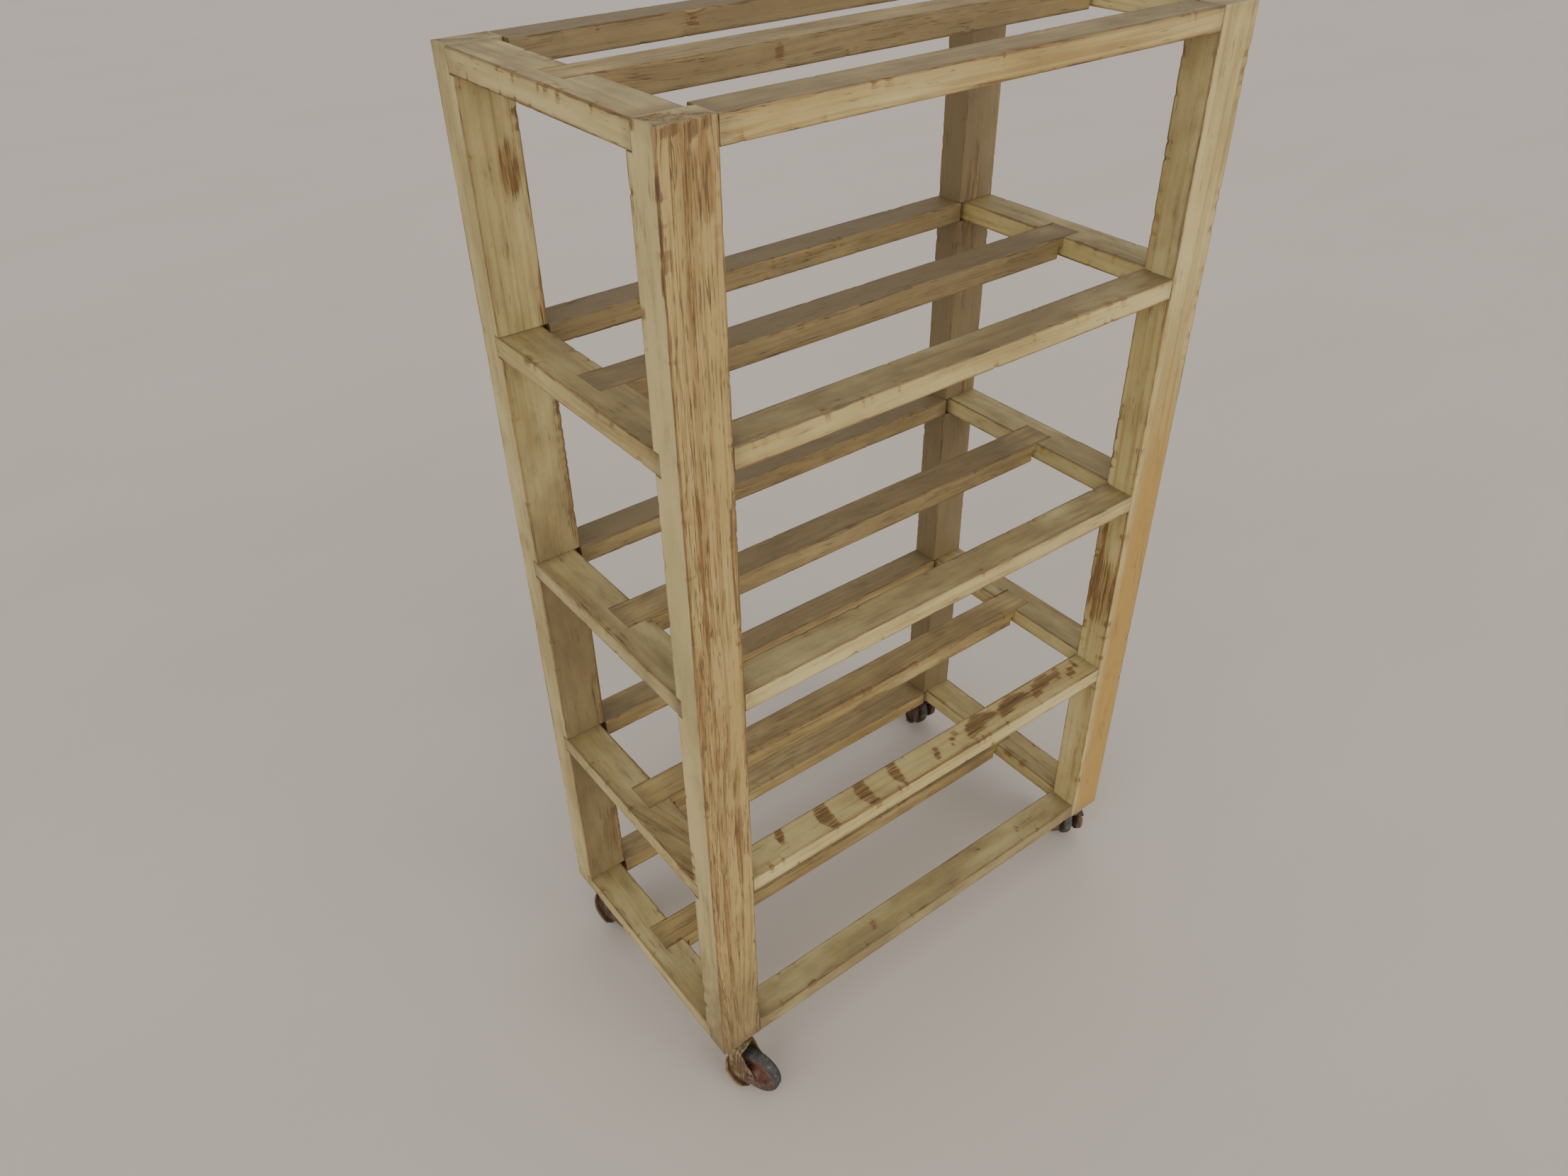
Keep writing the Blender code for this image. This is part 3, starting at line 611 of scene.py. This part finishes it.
def post(corner, seed):
    low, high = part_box(f"post_{corner}")
    centre, half = (low + high) / 2, (high - low) / 2
    inward = -1 if corner.startswith("back") else 1
    marks, notches = [], []
    for level in LEVELS:
        rail_low, rail_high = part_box(f"level{level}_left_end_rail")
        bottom, top = rail_low.z - CLEARANCE - centre.z, rail_high.z + CLEARANCE - centre.z
        notches.append((bottom, top))
        marks += [m for m in (bottom, top) if abs(m) < half.z - 0.001]
    rail_low, rail_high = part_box("level1_left_end_rail")
    face = (rail_low.y if inward > 0 else rail_high.y) - centre.y - CLEARANCE * inward

    def clamp(sharp, local):
        for bottom, top in notches:
            inside = (sharp[:, 0] > bottom) & (sharp[:, 0] < top)
            over = inside & (local[:, 2] * inward > face * inward)
            local[:, 2] = np.where(over, face, local[:, 2])
        return local

    item = board(f"worn_post_{corner}", centre, (2, 0, 1), (half.z, half.x, half.y), WOOD, seed,
                 0.09, POST_STAIN_AND_SHADE[corner], marks=marks, clamp=clamp, chips=1.0, spots=POST_SPOTS[corner],
                 knots=NEAR_POST_MARKS if corner == "front_left" else (), added_grime_and_shade=post_grime_and_shade(corner),
                 extra={"front_left": near_post_streaks, "front_right": right_post_tan}.get(corner),
                 tan=POST_TAN[corner])
    settle(item, "frame", f"post_{corner}")


def long_rail(level, side, seed):
    node = f"level{level}_{side}_rail"
    low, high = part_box(node)
    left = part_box(f"post_{side}_left")[1].x + CLEARANCE
    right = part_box(f"post_{side}_right")[0].x - CLEARANCE
    centre = Vector(((left + right) / 2, (low.y + high.y) / 2, (low.z + high.z) / 2))
    half = ((right - left) / 2, (high.y - low.y) / 2, (high.z - low.z) / 2)
    back = side == "back"
    fourth = level == 4 and not back
    marked = {4: scallop_losses, 5: bottom_rail_marks}
    wear = 0.11 if back else 0.07
    stain_and_shade = (BACK_RAIL_STAIN_AND_SHADE if back else RAIL_STAIN)[level - 1]
    dust = (BACK_RAIL_TOP_DARKENING if back else RAIL_TOP_DARKENING)[level - 1]
    knots = ((BACK_RAIL_KNOT / half[0], -1, 0.1, 0.006, 0.0065, 1.1),) if back and level == 1 else ()
    item = board(f"worn_{node}", centre, (0, 1, 2), half, WOOD, seed, wear, stain_and_shade,
                 step=FINE_ROW_STEP if fourth else ROW_STEP, chips=0.9 if level in (2, 3) else 0.7,
                 dust=dust, knots=knots, extra=None if back else marked.get(level),
                 tan=BACK_RAIL_TAN if back else RAIL_TAN[level - 1])
    settle(item, "frame", node)


def figured_end(points, lost, golden):
    """The growth rings show through the paint on top, in front of the lap."""
    top = smooth(0.0112, 0.0120, points[:, 2]) * smooth(0.0, -0.03, points[:, 0])
    return lost + 0.09 * top, golden + 0.12 * top


def end_rail(level, side, seed):
    node = f"level{level}_{side}_end_rail"
    low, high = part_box(node)
    slat_low, slat_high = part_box(f"level{level}_middle_slat")
    centre, half = (low + high) / 2, (high - low) / 2
    outward = -1 if side == "left" else 1
    lap = (slat_low.x - CLEARANCE if side == "left" else slat_high.x + CLEARANCE) - centre.x
    floor = half.z - HOUSING_DEPTH
    half_slat = (slat_high.y - slat_low.y) / 2 + CLEARANCE

    def clamp(sharp, local):
        inside = (np.abs(sharp[:, 0]) < half_slat) & (sharp[:, 1] * outward < lap * outward)
        over = inside & (local[:, 2] > floor)
        local[:, 2] = np.where(over, floor, local[:, 2])
        return local

    figured = level == 4 and side == "left"
    item = board(f"worn_{node}", centre, (1, 0, 2), (half.y, half.x, half.z), WOOD, seed,
                 0.08, END_STAIN[level - 1], extra=figured_end if figured else None,
                 marks=(-half_slat, half_slat), breaks=(lap,), clamp=clamp, chips=1.0, dust=END_TOP_DARKENING[level - 1],
                 tan=0.08)
    settle(item, "frame", node)


def middle_slat(level, seed):
    node = f"level{level}_middle_slat"
    low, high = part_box(node)
    centre, half = (low + high) / 2, (high - low) / 2
    shoulder = (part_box("post_front_right")[0].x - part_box("post_front_left")[1].x) / 2
    underside = half.z - LAP_DEPTH

    def clamp(sharp, local):
        lapped = (np.abs(sharp[:, 0]) > shoulder) & (local[:, 2] < underside)
        local[:, 2] = np.where(lapped, underside, local[:, 2])
        return local

    knots = ((SLAT_KNOT / half.x, -1, 0.1, 0.004, 0.0085, 1.1),) if level == 1 else ()
    item = board(f"worn_{node}", centre, (0, 1, 2), tuple(half), WOOD, seed, 0.14, SLAT_STAIN[level - 1],
                 marks=(-shoulder, shoulder), clamp=clamp, chips=0.7, dust=SLAT_TOP_DARKENING[level - 1], knots=knots,
                 added_grime_and_shade=lambda points: -0.26 * smooth(shoulder - 0.05, shoulder + 0.02, np.abs(points[:, 0])),
                 tan=0.26)
    settle(item, "frame", node)


# ---------------------------------------------------------------- casters

def turned(name, profile, steps, matrix, material, wobble=0.0, seed=1):
    """A closed lathe form about its own Y axis from (radius, offset) points."""
    bm = bmesh.new()
    rings = []
    for radius, offset in profile:
        ring = []
        for step in range(steps):
            angle = 2 * math.pi * step / steps
            r = radius - wobble * (0.5 + 0.5 * math.sin(angle * 5 + seed)) * (radius > 0.034)
            ring.append(bm.verts.new((r * math.cos(angle), offset, r * math.sin(angle))))
        rings.append(ring)
    for lower, upper in zip(rings, rings[1:] + rings[:1]):
        for i in range(steps):
            j = (i + 1) % steps
            bm.faces.new((lower[i], lower[j], upper[j], upper[i]))
    bmesh.ops.recalc_face_normals(bm, faces=bm.faces)
    layer = bm.verts.layers.float.new("radius")
    for vertex in bm.verts:
        vertex[layer] = math.hypot(vertex.co.x, vertex.co.z)
    mesh = bpy.data.meshes.new(name)
    bm.to_mesh(mesh)
    bm.free()
    mesh.materials.append(material)
    mesh.shade_smooth()
    mesh.set_sharp_from_angle(angle=math.radians(38))
    item = bpy.data.objects.new(name, mesh)
    bpy.context.scene.collection.objects.link(item)
    mesh.transform(matrix)
    return item


def rear_of(z):
    heights = [pair[0] for pair in REAR_EDGE]
    return float(np.interp(z, heights, [pair[1] for pair in REAR_EDGE]))


def front_of(z):
    if z >= 0.066:
        return CROWN_FRONT * float(smooth(0.064, 0.077, np.array([z]))[0])
    if z >= LEG_CENTRE[1]:
        return LEG_CENTRE[0] - LEG_RADIUS
    return LEG_CENTRE[0] - math.sqrt(max(0.0, LEG_RADIUS**2 - (z - LEG_CENTRE[1]) ** 2))


def fork_mesh(name, matrix, dirt_and_shade):
    """One pressed sheet: crown, two legs and the stiffening flange round each leg's lower edge."""
    bm = bmesh.new()
    stations = [(0.0, CROWN_MID), (0.006, CROWN_MID), (0.012, CROWN_MID)]
    for step in (1, 2, 3):
        angle = math.radians(30 * step)
        stations.append((0.012 + BEND_RADIUS * math.sin(angle), CROWN_MID - BEND_RADIUS * (1 - math.cos(angle))))
    heights = (0.0745, 0.071, 0.068, 0.065, 0.0625, 0.058, 0.052, 0.046, 0.041, 0.036, 0.032, 0.028, 0.0245,
               0.0218, 0.0196, 0.0181, 0.0171, 0.01665)
    stations += [(LEG_MID, z) for z in heights]
    columns = (0.0, 0.045, 0.12, 0.25, 0.4, 0.55, 0.7, 0.85, 1.0)
    centre_row = None
    for side in (-1, 1):
        rows = []
        for index, (v, z) in enumerate(stations):
            if index == 0 and centre_row:
                rows.append(centre_row)
                continue
            if index < 6:
                front = CROWN_FRONT * math.sqrt(1 - (v / 0.034) ** 2)
                rear = CROWN_REAR * math.sqrt(1 - (v / 0.06) ** 2)
            else:
                front, rear = front_of(z), max(rear_of(z), front_of(z) + 0.002)
            rows.append([bm.verts.new((front + (rear - front) * c, side * v, z)) for c in columns])
            if index == 0:
                centre_row = rows[0]
        for upper, lower in zip(rows, rows[1:]):
            for i in range(len(columns) - 1):
                bm.faces.new((upper[i], upper[i + 1], lower[i + 1], lower[i]))
        flanged = [row for row, (v, z) in zip(rows, stations) if z <= FLANGE_TOP and v == LEG_MID]
        root = [row[0] for row in flanged]
        root += list(flanged[-1][1:-1])
        root += [row[-1] for row in reversed(flanged) if row[-1].co.z < 0.0200]
        previous = root
        taper = [min(1.0, 0.35 + 0.3 * i, 0.25 + 0.15 * (len(root) - 1 - i)) for i in range(len(root))]
        for rise in (0.17, 0.57, 0.84, 1.0):
            reach = [LEG_MID + (FLANGE_RIM - LEG_MID) * rise * t for t in taper]
            ring = [bm.verts.new((p.co.x, side * v, p.co.z)) for p, v in zip(root, reach)]
            for i in range(len(root) - 1):
                bm.faces.new((previous[i], previous[i + 1], ring[i + 1], ring[i]))
            previous = ring
    bmesh.ops.recalc_face_normals(bm, faces=bm.faces)
    rim = bm.verts.layers.float.new("rim")
    soiled_and_shaded = bm.verts.layers.float.new("soiled_and_shaded")
    for vertex in bm.verts:
        x, y, z = vertex.co
        vertex[rim] = 1.0 if abs(y) > FLANGE_RIM - 0.002 else 0.0
        flange = smooth(LEG_MID + 0.0002, LEG_MID + 0.0012, np.array([abs(y)]))[0] * (1 - vertex[rim])
        eye = smooth(0.016, 0.006, np.array([math.hypot(x - EYE[0], z - EYE[1])]))[0]
        low = smooth(0.030, 0.018, np.array([z]))[0]
        # Soiling: dirt and rust in the groove, round the eye and low down, and over the whole fork the
        # per-caster amount, which is dirt and painted shade.
        vertex[soiled_and_shaded] = max(dirt_and_shade, 0.85 * flange, 0.75 * eye, 0.65 * low * (1 - vertex[rim]))
    mesh = bpy.data.meshes.new(name)
    bm.to_mesh(mesh)
    bm.free()
    mesh.materials.append(FORK)
    item = bpy.data.objects.new(name, mesh)
    bpy.context.scene.collection.objects.link(item)
    thicken = item.modifiers.new("sheet", "SOLIDIFY")
    thicken.thickness = SHEET
    thicken.offset = 0.0
    rounded = item.modifiers.new("rounding", "SUBSURF")
    rounded.levels = 1
    rounded.render_levels = 1
    settled = bpy.data.meshes.new_from_object(item.evaluated_get(bpy.context.evaluated_depsgraph_get()))
    item.modifiers.clear()
    item.data = settled
    settled.shade_smooth()
    settled.transform(matrix)
    return item


def mirrored(half):
    return list(half) + [(radius, -offset) for radius, offset in reversed(half)]


def caster(corner):
    swivel = Vector(JOINTS[f"{corner}_swivel"]["pos_m"])
    wheel = Vector(JOINTS[f"{corner}_roll"]["pos_m"])
    trail = (wheel - swivel).to_2d()
    turn = Matrix.Rotation(math.atan2(trail.y, trail.x), 4, "Z")
    at_swivel = Matrix.Translation((swivel.x, swivel.y, 0)) @ turn
    at_wheel = Matrix.Translation(wheel) @ turn
    prefix = f"caster_{corner}"
    tyre_low, tyre_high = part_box(f"{prefix}_tyre")
    radius = (tyre_high.z - tyre_low.z) / 2

    settle(fork_mesh(f"pressed_fork_{corner}", at_swivel, FORK_DIRT_AND_SHADE[corner]), f"swivel_{corner}",
           f"{prefix}_fork")

    tread = [(0.0231, 0.0060), (0.0246, 0.0066), (0.0262, 0.0062), (0.0300, 0.0068), (0.0318, 0.0073),
             (0.0334, 0.0072), (0.0352, 0.0069), (radius - 0.0013, 0.0060), (radius - 0.0004, 0.0046),
             (radius - 0.00005, 0.0026), (radius, 0.0009)]
    settle(turned(f"rubber_tyre_{corner}", mirrored(tread), 112, at_wheel, RUBBER, 0.00025, len(corner)),
           f"wheel_{corner}", f"{prefix}_tyre")

    disc = [(0.0042, 0.0135), (0.0082, 0.0135), (0.0091, 0.0131), (0.0095, 0.0120), (0.0099, 0.0055),
            (0.0108, 0.0040), (0.0122, 0.0035), (0.0140, 0.0040), (0.0152, 0.0047), (0.0165, 0.0042),
            (0.0180, 0.0036), (0.0194, 0.0040), (0.0204, 0.0056), (0.0213, 0.0062), (0.0224, 0.0062),
            (0.0227, 0.0058)]
    settle(turned(f"wheel_disc_{corner}", mirrored(disc), 96, at_wheel, DISC), f"wheel_{corner}",
           f"{prefix}_wheel_centre")

    head = [(0.00005, 0.0199), (0.0020, 0.0198), (0.0042, 0.0192), (0.0060, 0.0183), (0.0069, 0.0177),
            (0.0070, 0.0174), (0.0039, 0.0173)]
    settle(turned(f"axle_rivet_{corner}", mirrored(head), 40, at_wheel, STEEL), f"swivel_{corner}",
           f"{prefix}_axle")

    cup_low, cup_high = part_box(f"{prefix}_bearing_cup")
    upright = Matrix.Translation((swivel.x, swivel.y, cup_low.z)) @ Matrix.Rotation(math.radians(90), 4, "X")
    tall = cup_high.z - cup_low.z
    cup = [(0.0052, 0.0), (0.0158, 0.0), (0.0164, 0.0006), (0.0165, 0.0016), (0.0165, 0.0055), (0.0160, 0.0070),
           (0.0140, 0.0085), (0.0136, 0.0098), (0.0136, tall - 0.0006), (0.0130, tall), (0.0052, tall)]
    settle(turned(f"swivel_cup_{corner}", cup, 64, upright, ZINC), f"swivel_{corner}",
           f"{prefix}_bearing_cup")

    for node, material in ((f"{prefix}_stem", STEEL), (f"{prefix}_socket", ZINC)):
        data = frame["nodes"][node].data
        data.materials.clear()
        data.materials.append(material)


seed = 1
for corner in CORNERS:
    post(corner, seed)
    caster(corner)
    seed += 1
for level in LEVELS:
    for side in ("front", "back"):
        long_rail(level, side, seed)
        seed += 1
    for side in ("left", "right"):
        end_rail(level, side, seed)
        seed += 1
    middle_slat(level, seed)
    seed += 1


# ---------------------------------------------------------------- stage, light and camera

FLOOR_HALF = 14.0
LENS, SENSOR_WIDTH = 26.8234, 36
CAMERA_PLACE = (-0.83784, -0.96795, 1.44192)  # from the middle of the posts, at the height of their feet
CAMERA_RIGHT = (0.79392631, -0.60784447, -0.01435652)
CAMERA_UP = (0.37050848, 0.46494226, 0.80408467)
CAMERA_BACK = (-0.48208347, -0.64370319, 0.59434142)


def stage_floor():
    g = Graph("pale_floor")
    where = g.coordinates()
    drift = g.noise(g.stretch(where, (0.9, 2.2, 1)), detail=4)
    colour = g.mix(g.smooth(drift, 0.35, 0.7), (0.580, 0.520, 0.458), (0.566, 0.505, 0.443))
    material = g.finish(colour, g.math("MULTIPLY_ADD", drift, 0.15, 0.45))
    mesh = bpy.data.meshes.new("floor")
    size = FLOOR_HALF
    corners = [(-size, -size, 0), (size, -size, 0), (size, size, 0), (-size, size, 0)]
    mesh.from_pydata(corners, [], [(0, 1, 2, 3)])
    mesh.materials.append(material)
    item = bpy.data.objects.new("floor", mesh)
    bpy.context.scene.collection.objects.link(item)


def soft_sun(name, towards, strength, spread, colour):
    """Light arriving from one direction, wide enough to give soft shadows."""
    light = bpy.data.lights.new(name, "SUN")
    light.energy = strength
    light.angle = math.radians(spread)
    light.color = colour
    item = bpy.data.objects.new(name, light)
    bpy.context.scene.collection.objects.link(item)
    item.rotation_euler = Vector(towards).to_track_quat("Z", "Y").to_euler()


def build_camera():
    low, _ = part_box("post_front_left")
    _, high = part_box("post_back_right")
    centre = (low + high) / 2
    data = bpy.data.cameras.new("view")
    data.lens = LENS
    data.sensor_width = SENSOR_WIDTH
    item = bpy.data.objects.new("view", data)
    bpy.context.scene.collection.objects.link(item)
    turn = Matrix((CAMERA_RIGHT, CAMERA_UP, CAMERA_BACK)).transposed().to_4x4()
    x, y, z = CAMERA_PLACE
    place = Vector((centre.x + x, centre.y + y, low.z + z))
    item.matrix_world = Matrix.Translation(place) @ turn
    bpy.context.scene.camera = item


stage_floor()
soft_sun("key", (0.15, -1.0, 0.36), 1.75, 55, (1.0, 0.965, 0.915))
soft_sun("fill", (-1.0, -0.45, 0.42), 1.35, 60, (1.0, 0.975, 0.945))
soft_sun("overhead", (0.1, 0.1, 1.0), 0.30, 80, (1.0, 0.98, 0.95))
world = bpy.data.worlds.new("studio")
world.use_nodes = True
world.node_tree.nodes["Background"].inputs[0].default_value = (0.88, 0.87, 0.87, 1)
world.node_tree.nodes["Background"].inputs[1].default_value = 0.62
bpy.context.scene.world = world
build_camera()
